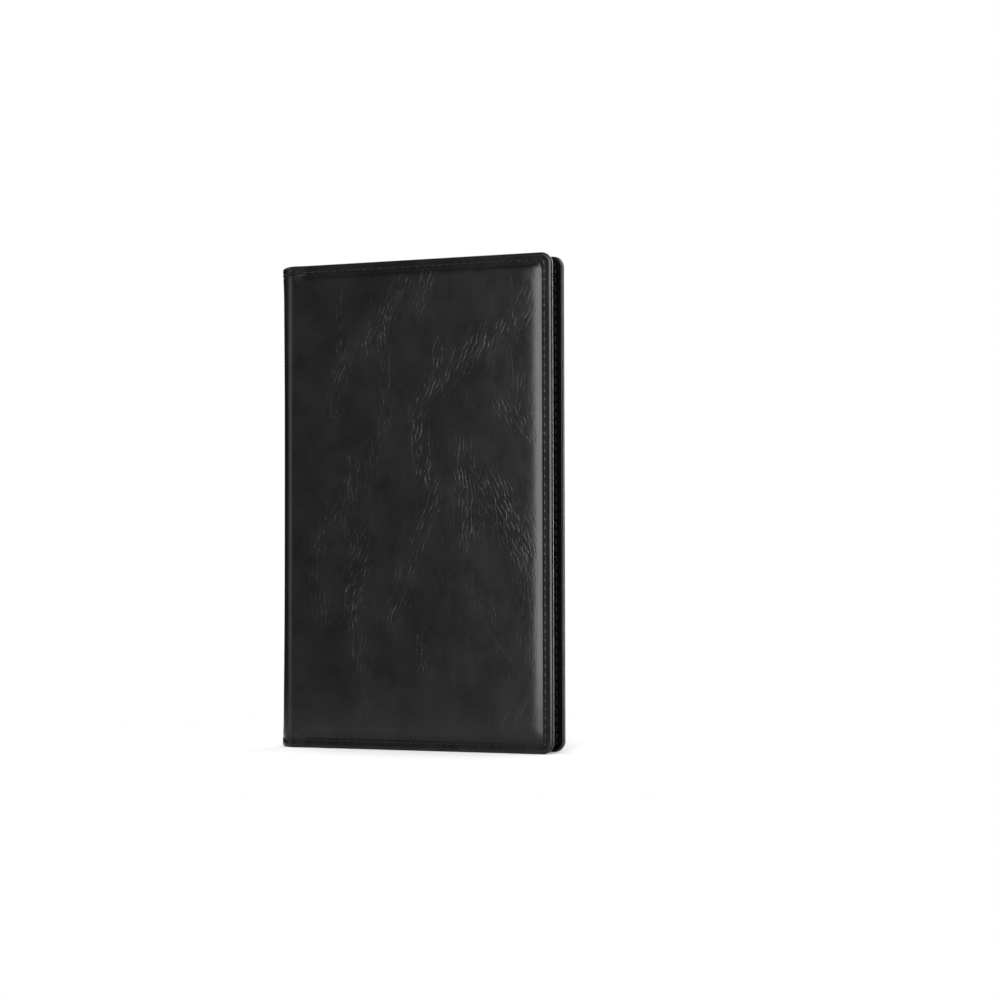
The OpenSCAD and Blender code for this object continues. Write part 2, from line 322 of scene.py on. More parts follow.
def crease_masks(a, z, cover):
    """How strongly the leather is creased in each of the three directions, from 0 to 1."""
    x = cover.across(a)
    masks = np.zeros((3, *np.shape(x)))
    for x0, z0, x1, z1, width, strength in cover.creases:
        run = np.array([x1 - x0, z1 - z0])
        w = np.clip(((x - x0) * run[0] + (z - z0) * run[1]) / (run @ run), 0, 1)
        gap = np.hypot(x - x0 - w * run[0], z - z0 - w * run[1])
        lean = math.atan2(run[0] * np.sign(run[1]), abs(run[1]))
        kind = int(np.argmin([abs(lean - known) for known in LEANS]))
        masks[kind] = np.maximum(masks[kind], strength * np.exp(-(gap / width / 1.5) ** 2))
    return masks


def pad_distance(a, z, t, cover):
    """Distance from the outline with the corners rounded more widely."""
    free, end = cover.end_a - a, np.minimum(z, CASE_H - z)
    share = np.clip(1 - np.abs(free - end) / PAD_CORNER, 0, 1)
    return np.minimum(t, np.minimum(free, end) - share ** 2 * PAD_CORNER / 4)


def pad_profile(t, cover):
    """Level of the padded panel at a distance from the outline."""
    foot, top = cover.level(HEM_Y) - HEM_FALL - 0.05, cover.level(FACE_Y)
    return foot + (top - foot) * (1 - np.exp(-np.maximum(t - PAD_FOOT, 0) / CROWN_REACH))


def undulation(a, z, cover):
    """The board's and the foam's slight unevenness under the leather."""
    x = cover.across(a)
    waves = (np.sin(x / 17 + z / 41 + 0.7) + 0.8 * np.sin(x / 11 - z / 23 + 2.1 * cover.side)
             + 0.6 * np.sin(z / 13 + 1.3 + x / 60) + 0.5 * np.sin(x / 6.3 + z / 19))
    creased = crease_masks(a, z, cover).max(axis=0)
    drag = creased * np.sin(x / 1.15 - z / 3.4 + np.sin(z / 9) * 1.5)
    return 0.02 * waves + 0.012 * drag


def leather_level(a, z, t, cover, stitched=True, needled=True):
    """Level of the leather's outer face."""
    panel = cover.on_panel(a)
    hem = cover.level(HEM_Y) + 0.03 * np.sin(math.pi * np.clip(t / 2.6, 0, 1))
    hem = hem - HEM_FALL * smooth((t - 0.9) / (PAD_FOOT - 0.9))
    inner = pad_distance(a, z, t, cover)
    raised = hem + (pad_profile(inner, cover) - hem) * smooth((inner - PAD_FOOT + 0.3) / 0.3)
    raised = raised + undulation(a, z, cover) * smooth((t - 4.5) / 4) * panel
    level = raised * panel
    if stitched:
        hole = cover.seam.hole(a, z) if needled else 0.0
        level = level - (GROOVE_D + NEEDLE_D * hole) * bell(t, SEAM, GROOVE_W)
        level = level - SEAM_PULL * (1 - panel) * bell(t, SEAM + 0.3, 1.3)
    return level


def leather_faces(a, z, t, cover):
    """Outer and inner face of the leather, meeting in a rounded edge."""
    rolled, turned = quarter_round(t, EDGE_ROLL), quarter_round(t, LEATHER_T / 2)
    plain = leather_level(a, z, t, cover, stitched=False)
    outer = leather_level(a, z, t, cover) - EDGE_DROP * (1 - rolled)
    return outer, plain - EDGE_DROP - (LEATHER_T - EDGE_DROP) * turned


def show_level(a, cover):
    """Level of the lining's visible face: on the strip beside the fold, then on the board."""
    strip = -LEATHER_T - LINING_T
    on_board = smooth((cover.across(a) - BOARD_X + 1.1) / 0.8)
    return strip + (cover.level(SHOW_Y) - strip) * on_board


def facing_faces(a, z, t, cover):
    """Visible and hidden face of the lining, with its edge turned round the board."""
    on_board = smooth((cover.across(a) - BOARD_X + 0.1) / 0.15)
    under, rim = cover.level(BOARD_Y), cover.level(BOARD_TOP_Y) - 0.02
    show = show_level(a, cover)
    back = -LEATHER_T + (np.where(t < LINING_TURN, rim, under) + LEATHER_T) * on_board
    edge_back = -LEATHER_T + (rim + LEATHER_T) * on_board
    middle, half = (show + edge_back) / 2, (edge_back - show) / 2
    curve_in, curve_out = quarter_round(t, 0.25 + 0.4 * on_board), quarter_round(t, 0.3)
    from_edge = t + LINING_INSET
    stitched = 0.10 * bell(from_edge, SEAM, GROOVE_W)
    border = 0.12 * bell(from_edge, BORDER, 0.22)
    shown = middle - half * curve_in + stitched + border
    hidden = np.where(t < LINING_ROUND, middle + half * curve_out, back)
    return shown, hidden


def pad_faces(a, z, t, cover):
    """Top and bottom of the foam pad under the leather."""
    plain = leather_level(a, z, t + PAD_INSET, cover, stitched=False) - LEATHER_T - 0.02
    bottom = cover.level(BOARD_TOP_Y) + 0.04
    return bottom + (plain - bottom) * quarter_round(t, 1.2), bottom + 0.0 * t


# ---- closed sheets from two height fields ----


class Opening:
    """A round hole or a long slot, cut out of a block of grid cells."""

    def __init__(self, a, z, r, straight, block_a, block_z):
        self.a, self.z, self.r, self.straight = a, z, r, straight
        self.block_a, self.block_z = block_a, block_z

    def rim(self, a, z, grow):
        """The opening's outline, grown by grow, seen from points around it."""
        middle = np.clip(z, self.z - self.straight, self.z + self.straight)
        off_a, off_z = a - self.a, z - middle
        far = np.hypot(off_a, off_z)
        return (self.a + off_a / far * (self.r + grow), middle + off_z / far * (self.r + grow))


def sound_holes():
    """The twelve holes in the back cover, each in a square block."""
    a, half, cells = BACK.along(HOLE_X), 2.4, 8
    heights = [MID_Z + sign * offset for sign in (-1, 1) for offset in HOLE_OFFSETS]
    return [Opening(a, z, HOLE_R, 0, np.linspace(a - half, a + half, cells + 1),
                    np.linspace(z - half, z + half, cells + 1)) for z in heights]


def port_slot():
    """The slot in the spine, in a block that reaches from the skin's start past the slot."""
    low, high, half = -SPLIT, SLOT_A + SLOT_R + 1.0, 10.5
    return [Opening(SLOT_A, MID_Z, SLOT_R, SLOT_HALF, np.linspace(low, high, 12),
                    np.linspace(MID_Z - half, MID_Z + half, 29))]


FRONT.openings = port_slot()
BACK.openings = sound_holes()

# rings down an opening's wall: how far outside the outline, and the share of the thickness
WALL_RINGS = ((0.3, 0.0), (0.09, 0.06), (0.0, 0.3), (0.0, 1.0))
# distances of the grid's lines from the sheet's outline, closest where the shape turns fastest
EDGE_LINES = (0.05, 0.12, 0.2, 0.32, 0.46, 0.64, 0.9, 1.3, 1.7, 2.1, 2.35, 2.6, 2.8, 2.95, 3.1,
              3.25, 3.4, 3.55, 3.7, 3.9, 4.15, 4.4, 4.55, 4.7, 4.82, 4.92, 5.2, 5.5, 5.9, 6.4, 7.0)
FACING_LINES = (0.04, 0.1, 0.2, 0.3, 0.32, 0.45, 0.6, 0.62, 0.9, 1.4, 1.9, 2.25, 2.55, 2.85,
                3.2, 3.9, 4.4, 4.6)
PAD_LINES = (0.05, 0.15, 0.35, 0.7)
# the lining's extra lines, from the board's edge, where it turns round it
WRAP_LINES = (-1.3, -1.1, -0.95, -0.8, -0.65, -0.5, -0.3, -0.11, 0.06, 0.4)


def signed_volume(points, faces):
    """Volume inside the faces, negative if they look inwards."""
    total = 0.0
    for size in (3, 4):
        some = np.array([f for f in faces if len(f) == size])
        for k in range(1, size - 1) if len(some) else ():
            one, two, three = (points[some[:, c]] for c in (0, k, k + 1))
            total += np.einsum("ij,ij->i", one, np.cross(two, three)).sum()
    return total / 6


def facing_out(points, faces):
    """The faces, turned round if they look inwards. Those with over four corners don't count."""
    return [f[::-1] for f in faces] if signed_volume(points, faces) < 0 else faces


def grid_marks(cover, openings, inset, start, edge_lines, across_marks):
    """Places that the grid's lines must run through, along the leather and upwards."""
    from_edge = (0, *edge_lines, CORNER_R - inset)
    a_marks = [start, *(cover.end_a - inset - t for t in from_edge)]
    a_marks += [cover.along(x) for x in across_marks]
    a_marks += list(np.linspace(cover.flat, cover.fold_end, 15))
    a_marks += list(np.linspace(cover.along(cover.foot_x), cover.along(cover.top_x), 9))
    near_end = [inset + t for t in from_edge]
    z_marks = near_end + [CASE_H - z for z in near_end]
    for opening in openings:
        a_marks += list(opening.block_a)
        z_marks += list(opening.block_z)
    a_marks = [m for m in a_marks if m >= start]
    for opening in openings:     # no other line runs through a block of cells
        low, high = opening.block_a[0], opening.block_a[-1]
        kept = set(np.round(opening.block_a, 4))
        a_marks = [m for m in a_marks if not low < m < high or round(float(m), 4) in kept]
    return a_marks, z_marks


def block_edge(opening, a_line, z_line):
    """The grid's corners around an opening's block of cells, and the cells in it."""
    i0, i1 = (int(np.argmin(abs(a_line - opening.block_a[k]))) for k in (0, -1))
    j0, j1 = (int(np.argmin(abs(z_line - opening.block_z[k]))) for k in (0, -1))
    loop = ([(i, j0) for i in range(i0, i1)] + [(i1, j) for j in range(j0, j1)]
            + [(i, j1) for i in range(i1, i0, -1)] + [(i0, j) for j in range(j1, j0, -1)])
    return tuple(np.array(loop).T), (slice(i0, i1), slice(j0, j1))


def opening_wall(opening, around_a, around_z, cover, faces_of, inset):
    """Points down an opening's wall, ring by ring, in space and developed."""
    points, developed = [], []
    for grow, share in WALL_RINGS:
        a, z = opening.rim(around_a, around_z, grow)
        t = outline(a, z, inset, cover)[2]
        top, bottom = faces_of(a, z, t, cover)
        points.append(place(a, z, top + (bottom - top) * share, cover))
        developed.append(np.stack([a, z, t], axis=-1))
    return points, developed


def ring_faces(rings):
    """Faces between rings of points, each closed on itself."""
    faces = []
    for one, two in zip(rings, rings[1:]):
        faces += np.stack([one, np.roll(one, -1), np.roll(two, -1), two], axis=1).tolist()
    return faces


def closed_sheet(name, cover, faces_of, inset, start, edge_lines, step, across_marks=(),
                 open_start=True):
    """A closed mesh between two height fields over one cover and its half of the spine."""
    openings = [o for o in cover.openings if o.a - o.r > start]
    a_marks, z_marks = grid_marks(cover, openings, inset, start, edge_lines, across_marks)
    a_line, z_line = lines(a_marks, step), lines(z_marks, step)
    a, z, t = outline(*np.meshgrid(a_line, z_line, indexing="ij"), inset, cover)
    rows, cols = a.shape
    front = np.arange(rows * cols).reshape(rows, cols)
    back = front + rows * cols
    for rim in ((-1, slice(None)), (slice(None), 0), (slice(None), -1)):
        back[rim] = front[rim]
    if not open_start:
        back[0, :] = front[0, :]
    points = [place(a, z, n, cover).reshape(-1, 3) for n in faces_of(a, z, t, cover)]
    developed = [np.stack([a, z, t], axis=-1).reshape(-1, 3)] * 2
    keep = np.ones((rows - 1, cols - 1), bool)
    walls = []
    for opening in openings:
        around, cells = block_edge(opening, a_line, z_line)
        keep[cells] = False
        made, made_developed = opening_wall(opening, a[around], z[around], cover, faces_of, inset)
        count, size = sum(map(len, points)), len(made[0])
        rings = [count + size * k + np.arange(size) for k in range(len(made))]
        walls += ring_faces([front[around], *rings, back[around]])
        points += made
        developed += made_developed
    i, j = np.nonzero(keep)
    quads = np.stack([front[i, j], front[i + 1, j], front[i + 1, j + 1], front[i, j + 1]], 1)
    under = np.stack([back[i, j + 1], back[i + 1, j + 1], back[i + 1, j], back[i, j]], 1)
    faces = quads.tolist() + under.tolist() + walls
    rounded = len(faces)
    for k in range(cols - 1) if open_start else ():
        cut = [front[0, k], front[0, k + 1], back[0, k + 1], back[0, k]]
        faces.append(list(dict.fromkeys(int(v) for v in cut)))
    return sheet_piece(name, np.concatenate(points), faces, np.concatenate(developed), cover,
                       rounded)


def sheet_piece(name, points, faces, developed, cover, rounded):
    """An object from a closed sheet. Its faces after the first rounded ones are shaded flat."""
    faces = facing_out(points, faces)
    used = np.unique(np.concatenate([np.ravel(f) for f in faces]))
    number = np.full(len(points), -1)
    number[used] = np.arange(len(used))
    a, z, t = developed[used].T
    faces = [number[f].tolist() for f in faces]
    piece = new_piece(name, points[used], faces, np.stack([-cover.side * a, z, 0 * a], axis=1))
    creased = crease_masks(a, z, cover) * smooth((cover.across(a) - FRONT.fold_x) / 4)
    add_attribute(piece.data, "creased", "FLOAT_VECTOR", "vector", creased.T)
    add_attribute(piece.data, "outline", "FLOAT", "value", t)
    piece.data.polygons.foreach_set("use_smooth", np.arange(len(faces)) < rounded)
    return piece


def new_piece(name, points, faces, developed):
    """An object from points and faces, with the developed place of each point on it."""
    mesh = bpy.data.meshes.new(name)
    mesh.from_pydata(points.tolist(), [], faces)
    add_attribute(mesh, "developed", "FLOAT_VECTOR", "vector", developed)
    mesh.polygons.foreach_set("use_smooth", np.ones(len(faces), bool))
    return linked(bpy.data.objects.new(name, mesh))


def add_attribute(mesh, name, kind, field, values):
    """A named value or vector at each point of a mesh."""
    flat = np.asarray(values, np.float32).ravel()
    mesh.attributes.new(name, kind, "POINT").data.foreach_set(field, flat)


def linked(made):
    """An object that has been put into the scene."""
    bpy.context.scene.collection.objects.link(made)
    return made


# ---- stitches ----

STITCH_RINGS = 13
STITCH_SECTORS = 10
STITCH_REACH = 0.39   # half the length of a stitch, as a share of the pitch
STITCH_LEAN = 0.09    # how far a stitch's ends are off the seam's line
STITCH_RISE = 0.13    # how far a stitch's middle stands out
STITCH_DIVE = 0.5     # how far its ends dive in from there
TWIST_PITCH = 0.95    # the thread turns once in this length
TWIST_DEPTH = 0.13    # depth of the twist, as a share of the radius


def tube_faces(tubes, rings, sectors):
    """Faces of closed tubes, made of rings of points that follow each other."""
    faces = []
    for k in range(tubes):
        base = k * rings * sectors
        last = base + (rings - 1) * sectors
        for low in range(base, last, sectors):
            for j in range(sectors):
                follow = (j + 1) % sectors
                high = low + sectors
                faces.append([low + j, low + follow, high + follow, high + j])
        faces.append([base + j for j in range(sectors)][::-1])
        faces.append([last + j for j in range(sectors)])
    return faces


def stitch_line(name, cover, level_of, outward):
    """All stitches of one seam: short twisted threads that dive into the leather."""
    seam = cover.seam
    u = np.linspace(-1, 1, STITCH_RINGS)
    around = (np.arange(STITCH_SECTORS) * 2 * math.pi / STITCH_SECTORS)[None, None, :]
    middle = (np.arange(seam.count) + 0.5) * seam.pitch
    rng = np.random.default_rng(5 + cover.side)
    lean = STITCH_LEAN + 0.03 * rng.standard_normal(seam.count)
    reach = seam.pitch * (STITCH_REACH + 0.012 * rng.standard_normal(seam.count))
    s = middle[:, None] + reach[:, None] * u[None, :]
    a, z = seam.at(s)
    ahead_a, ahead_z = seam.at(s + 0.01)
    run = np.stack([ahead_a - a, ahead_z - z], -1)
    run /= np.linalg.norm(run, axis=-1, keepdims=True)
    sideways = np.stack([-run[..., 1], run[..., 0]], -1)      # towards the panel
    shift = lean[:, None] * u[None, :]
    a, z = a + sideways[..., 0] * shift, z + sideways[..., 1] * shift
    bow = STITCH_RISE - STITCH_DIVE * np.abs(u) ** 4
    level = level_of(a, z) + outward * bow[None, :]
    radius = THREAD_R * (1 - 0.35 * np.abs(u) ** 6)
    twist = 2 * math.pi * reach[:, None] * u[None, :] / TWIST_PITCH
    r = radius[None, :, None] * (1 + TWIST_DEPTH * np.cos(2 * around - twist[..., None]))
    off, rise = r * np.cos(around), r * np.sin(around)
    ring_a = a[..., None] + sideways[..., 0, None] * off
    ring_z = z[..., None] + sideways[..., 1, None] * off
    ring_n = level[..., None] + rise
    points = place(ring_a, ring_z, ring_n, cover).reshape(-1, 3)
    developed = np.stack([-cover.side * ring_a, ring_z, ring_n], -1).reshape(-1, 3)
    faces = facing_out(points, tube_faces(seam.count, STITCH_RINGS, STITCH_SECTORS))
    return new_piece(name, points, faces, developed)


def outer_stitch_level(cover):
    """Level of the outer stitches' middle line, in the seam's groove."""
    return lambda a, z: leather_level(a, z, SEAM + 0 * a, cover, needled=False) + 0.05


def inner_stitch_level(cover):
    """Level of the inner stitches' middle line, on the lining."""
    return lambda a, z: show_level(a, cover) + 0.10


# ---- hard parts: the CAD solids with their edges rounded ----


def softened(name, node, width):
    """A copy of a CAD node with its sharp edges rounded off."""
    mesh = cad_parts[node].data.copy()
    mesh.name = name
    made = bmesh.new()
    made.from_mesh(mesh)
    bmesh.ops.remove_doubles(made, verts=made.verts, dist=1e-6)
    bmesh.ops.dissolve_limit(made, angle_limit=math.radians(1), verts=made.verts,
                             edges=made.edges)
    sharp = [e for e in made.edges if len(e.link_faces) == 2
             and e.calc_face_angle(0) > math.radians(35)]
    bmesh.ops.bevel(made, geom=sharp, offset=width * MM, segments=2, profile=0.5,
                    affect="EDGES", clamp_overlap=True)
    bmesh.ops.recalc_face_normals(made, faces=made.faces)
    made.to_mesh(mesh)
    made.free()
    mesh.polygons.foreach_set("use_smooth", np.ones(len(mesh.polygons), bool))
    mesh.materials.clear()
    piece = linked(bpy.data.objects.new(name, mesh))
    weighted = piece.modifiers.new("weighted", "WEIGHTED_NORMAL")
    weighted.keep_sharp = True
    return piece


# ---- materials ----


class Material:
    """A node material. Inputs are numbers, colours or other nodes' outputs."""

    def __init__(self, name):
        self.data = bpy.data.materials.new(name)
        self.data.use_nodes = True
        self.tree = self.data.node_tree
        self.shader = self.tree.nodes["Principled BSDF"]

    def put(self, socket, value):
        """Link an output to a socket, or set the socket to a number or colour."""
        if isinstance(value, bpy.types.NodeSocket):
            self.tree.links.new(value, socket)
        else:
            socket.default_value = value

    def node(self, kind, inputs, **settings):
        """Outputs of a new node of the given kind."""
        made = self.tree.nodes.new("ShaderNode" + kind)
        for key, value in settings.items():
            setattr(made, key, value)
        for key, value in inputs.items():
            self.put(made.inputs[key], value)
        return made.outputs

    def attribute(self, name):
        return self.node("Attribute", {}, attribute_name=name)["Vector"]

    def math(self, operation, one, two=0.0):
        return self.node("Math", {0: one, 1: two}, operation=operation)[0]

    def scaled(self, vector, scale, turn=0.0, shift=(0, 0, 0)):
        return self.node("Mapping", {"Vector": vector, "Scale": scale, "Location": shift,
                                     "Rotation": (0, 0, turn)})[0]

    def noise(self, vector, scale, detail=2.0, rough=0.5, output="Fac"):
        return self.node("TexNoise", {"Vector": vector, "Scale": scale, "Detail": detail,
                                      "Roughness": rough})[output]

    def cells(self, vector, scale):
        return self.node("TexVoronoi", {"Vector": vector, "Scale": scale},
                         feature="SMOOTH_F1")["Distance"]

    def ramp(self, value, low, high, to_low=0.0, to_high=1.0):
        return self.node("MapRange", {"Value": value, "From Min": low, "From Max": high,
                                      "To Min": to_low, "To Max": to_high},
                         interpolation_type="SMOOTHSTEP")[0]

    def mix(self, factor, one, two):
        return self.node("Mix", {0: factor, 6: one, 7: two}, data_type="RGBA")[2]

    def bump(self, height):
        """A normal for a height in millimetres."""
        return self.node("Bump", {"Height": height, "Strength": 1.0, "Distance": MM})[0]

    def set(self, **inputs):
        """Fill the shader's inputs and return the finished material."""
        for key, value in inputs.items():
            self.put(self.shader.inputs[key.replace("_", " ")], value)
        return self.data


def grey(value, warm=0.0):
    """A grey with a share of warmth, as a colour."""
    return (value * (1 + warm), value, value * (1 - warm), 1)


def drifted(mat, place_on, reach, scale, seed):
    """Coordinates pushed sideways by a slow noise, so that lines wander."""
    moved = mat.noise(mat.scaled(place_on, (1, 1, 1), shift=(seed, seed / 2, 0)), scale, 2,
                      0.5, "Color")
    centred = mat.node("VectorMath", {0: moved, 1: (0.5, 0.5, 0.5)}, operation="SUBTRACT")[0]
    push = mat.node("VectorMath", {0: centred, 1: reach}, operation="MULTIPLY")[0]
    return mat.node("VectorMath", {0: place_on, 1: push}, operation="ADD")[0]


def crease_lines(mat, place_on, spacing, length, width, share, seed):
    """Thin wandering strokes side by side, as a value from 0 to 1. Each stroke has its own
    start and end. Spacing, length and width are in millimetres, and share is the part of
    each line that is left out."""
    wander = drifted(mat, place_on, (4.5, 0, 0), 0.09, seed)
    wander = drifted(mat, wander, (0.9, 0, 0), 0.33, seed + 3)
    parts = mat.node("SeparateXYZ", {0: wander})
    across = mat.math("ADD", mat.math("DIVIDE", parts[0], spacing), seed * 7.3)
    offset = mat.math("ABSOLUTE", mat.math("SUBTRACT", mat.math("FRACT", across), 0.5))
    line = mat.ramp(offset, width / spacing, 0.0)
    number = mat.math("MULTIPLY", mat.math("FLOOR", across), 3.7)
    along = mat.math("DIVIDE", parts[1], length)
    own = mat.node("CombineXYZ", {0: number, 1: along, 2: seed})[0]
    return mat.math("MULTIPLY", line, mat.ramp(mat.noise(own, 1, 0), share, share + 0.12))


def leather(name, specular):
    """Oiled black leather: cloudy tone, soft gloss, fine pores and clusters of creases."""
    mat = Material(name)
    on = mat.attribute("developed")
    parts = mat.node("SeparateXYZ", {0: mat.attribute("creased")})
    depth = 0.0
    for k, lean in enumerate(LEANS):
        turned, crossed = (mat.scaled(on, (1, 1, 1), lean + extra) for extra in (0.0, 0.35))
        strong = crease_lines(mat, turned, spacing=2.0, length=7, width=0.38, share=0.43,
                              seed=1.0 + k)
        fine = crease_lines(mat, crossed, spacing=1.6, length=5, width=0.34, share=0.45,
                            seed=7.0 + k)
        both = mat.math("ADD", mat.math("MULTIPLY", strong, 0.04), mat.math("MULTIPLY", fine, 0.028))
        depth = mat.math("ADD", depth, mat.math("MULTIPLY", both, parts[k]))
    patch = mat.ramp(mat.noise(on, 0.12, 2), 0.34, 0.60, 0.65, 1.0)
    carved = mat.math("MULTIPLY", depth, patch)
    scratch = crease_lines(mat, on, spacing=3.1, length=9, width=0.4, share=0.60, seed=4.0)
    carved = mat.math("ADD", carved, mat.math("MULTIPLY", scratch, 0.014))
    pores = mat.math("MULTIPLY", mat.cells(on, 1.7), 0.003)
    grain = mat.math("MULTIPLY", mat.noise(on, 1.3, 3, 0.6), 0.006)
    slow = mat.math("MULTIPLY", mat.noise(on, 0.09, 2), 0.17)
    skin = mat.math("ADD", mat.math("ADD", pores, grain), slow)
    height = mat.math("SUBTRACT", skin, carved)
    cloud = mat.ramp(mat.noise(mat.scaled(on, (1, 0.8, 1), 0.4), 0.045, 4, 0.6), 0.34, 0.68)
    tone = mat.mix(cloud, grey(0.0012), grey(0.0034, 0.02))
    tone = mat.mix(mat.math("MULTIPLY", carved, 3.0), tone, grey(0.012))
    gloss = mat.ramp(mat.noise(on, 0.07, 3, 0.55), 0.25, 0.75, 0.265, 0.305)
    return mat.set(Base_Color=tone, Roughness=gloss, Normal=mat.bump(height),
                   Specular_IOR_Level=specular, IOR=1.48)


def border_leather(name, specular):
    """The lining's smooth border, or its turned edge. Its tone is near black; on the border, with
    hardly any reflection, it is painted shade for the shadowed gap between the covers.
    """
    mat = Material(name)
    on = mat.attribute("developed")
    grain = mat.math("MULTIPLY", mat.cells(on, 1.5), 0.02)
    fine = mat.math("MULTIPLY", mat.noise(on, 2.5, 3), 0.012)
    tone = mat.mix(mat.noise(on, 0.08, 3), grey(0.0008), grey(0.0016))
    gloss = mat.ramp(mat.noise(on, 0.3, 2), 0.3, 0.7, 0.34, 0.44)
    return mat.set(Base_Color=tone, Roughness=gloss,
                   Normal=mat.bump(mat.math("ADD", grain, fine)), Specular_IOR_Level=specular)


def microfibre():
    """Short-napped microfibre, brushed in patches."""
    mat = Material("microfibre")
    on = mat.attribute("developed")
    nap = mat.noise(mat.scaled(on, (1, 0.6, 1), 0.5), 6.0, 3, 0.7)
    brushed = mat.noise(mat.scaled(on, (1, 0.5, 1), -0.6), 0.06, 3, 0.55)
    tone = mat.mix(brushed, grey(0.010), grey(0.02))
    tone = mat.mix(mat.math("MULTIPLY", nap, 0.45), tone, grey(0.03))
    return mat.set(Base_Color=tone, Roughness=mat.ramp(nap, 0.2, 0.8, 0.85, 0.97),
                   Normal=mat.bump(mat.math("MULTIPLY", nap, 0.09)), Sheen_Weight=0.35,
                   Sheen_Roughness=0.4)


def thread():
    """Waxed polyester thread."""
    mat = Material("thread")
    on = mat.attribute("developed")
    fibre = mat.noise(mat.scaled(on, (3, 3, 9)), 1.5, 2)
    tone = mat.mix(mat.noise(on, 0.5, 2), grey(0.001), grey(0.003))
    return mat.set(Base_Color=tone, Roughness=mat.ramp(fibre, 0.3, 0.7, 0.4, 0.55),
                   Normal=mat.bump(mat.math("MULTIPLY", fibre, 0.05)), Specular_IOR_Level=0.2)


def object_place(mat):
    """Place on the piece, in metres."""
    return mat.node("TexCoord", {})["Object"]


def plastic():
    """Spark-eroded moulded plastic."""
    mat = Material("tray_plastic")
    on = object_place(mat)
    texture = mat.noise(on, 2600, 2, 0.6)
    flow = mat.noise(mat.scaled(on, (1, 1, 0.4)), 40, 3)
    tone = mat.mix(flow, grey(0.012), grey(0.019))
    return mat.set(Base_Color=tone, Roughness=mat.ramp(flow, 0.3, 0.7, 0.4, 0.5),
                   Normal=mat.bump(mat.math("MULTIPLY", texture, 0.02)))


def plain_solid(name, dark, light, scale, grain, rough, metallic=0.0):
    """A hard or soft filling with an uneven tone and a fine grain."""
    mat = Material(name)
    on = object_place(mat)
    fleck = mat.noise(on, scale, 4, 0.65)
    tone = mat.mix(mat.ramp(fleck, 0.3, 0.7), dark, light)
    return mat.set(Base_Color=tone, Metallic=metallic,
                   Roughness=mat.ramp(fleck, 0.3, 0.7, rough, rough + 0.12),
                   Normal=mat.bump(mat.math("MULTIPLY", fleck, grain)))


def floor_material():
    """Matt white studio floor."""
    mat = Material("floor")
    on = object_place(mat)
    tone = mat.mix(mat.noise(on, 1.5, 2), grey(0.77), grey(0.79))
    return mat.set(Base_Color=tone, Roughness=0.75)


def dress(piece, *materials):
    """Give a piece its material slots."""
    for material in materials:
        piece.data.materials.append(material)


def dress_node(name, material):
    """Fill the slots of a CAD node that is shown as it is."""
    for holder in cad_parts[name].material_slots:
        holder.material = material


# ---- build the pieces ----


def finish_soft(piece, cover, slot, *nodes):
    """Bake a piece's place into its mesh and hide the CAD nodes that it stands in for."""
    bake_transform(piece)
    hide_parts(*nodes)


def build_skin(cover, materials):
    """The outer leather, from the spine's middle round the fold to the free edge."""
    name = cover.name
    skin = closed_sheet(f"{name}_skin", cover, leather_faces, 0.0, cover.start, EDGE_LINES, 1.0)
    # the hem band, from the rolled edge to the padded panel's foot, gets hem_leather, whose lower
    # specular level is painted shade
    dress(skin, materials["cut_edge"], materials["leather"], materials["hem_leather"],
          materials["leather"])
    split_slots(skin, (CUT_EDGE - 0.08, EDGE_ROLL - 0.11, PAD_FOOT - 0.01))
    spine = ["spine_leather"] if cover is FRONT else []
    finish_soft(skin, cover, "leather", f"{name}_leather", f"{name}_fold_leather", *spine)


def build_facing(cover, materials):
    """The lining, turned round the board's edges."""
    name = cover.name
    facing = closed_sheet(f"{name}_facing", cover, facing_faces, LINING_INSET, cover.start,
                          FACING_LINES, 1.6, [BOARD_X + dx for dx in WRAP_LINES])
    dress(facing, materials["turned_edge"], materials["border"], materials["microfibre"])
    split_slots(facing, (0.4, BORDER - LINING_INSET - 0.05))
    spine = ["spine_lining"] if cover is FRONT else []
    finish_soft(facing, cover, "lining", f"{name}_lining", f"{name}_fold_lining", *spine)
    step = BOARD_Y - SHOW_Y + cover.level(BOARD_Y) + LEATHER_T if cover is FRONT else 0.0


def build_stitches(cover, materials):
    """The seam's thread, on the leather and on the lining."""
    name = cover.name
    for part, level_of, outward in (("thread", outer_stitch_level(cover), 1),
                                    ("inner_thread", inner_stitch_level(cover), -1)):
        stitches = stitch_line(f"{name}_{part}", cover, level_of, outward)
        dress(stitches, materials["thread"])
        spine = ["spine_stitching"] if cover is FRONT else []
        finish_soft(stitches, cover, "thread", f"{name}_stitching", *spine)


def build_pad(cover, materials):
    """The foam between board and leather."""
    name = cover.name
    pad = closed_sheet(f"{name}_pad", cover, pad_faces, PAD_INSET, cover.along(cover.pad_x),
                       PAD_LINES, 2.0, open_start=False)
    dress(pad, materials["foam"])
    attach(pad, cover.body)
    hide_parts(f"{name}_foam")


def split_slots(piece, limits):
    """Material slots by the distance from the outline: 0 up to the first limit, and so on."""
    mesh = piece.data
    t = np.zeros(len(mesh.vertices), np.float32)
    mesh.attributes["outline"].data.foreach_get("value", t)
    nearest = np.array([min(t[v] for v in face.vertices) for face in mesh.polygons])
    slots = sum((nearest > limit).astype(int) for limit in limits)
    mesh.polygons.foreach_set("material_index", slots)


# node, body, width of its rounded edges, slot and material
HARD_PARTS = (
    ("tablet_tray", "back_cover", 0.35, "tray", "plastic"),
    ("catch_plates", "back_cover", 0.12, "steel", "steel"),
    ("closure_magnets", "front_cover", 0.15, "magnet", "magnet"),
    ("wake_magnet", "front_cover", 0.15, "magnet", "magnet"),
)


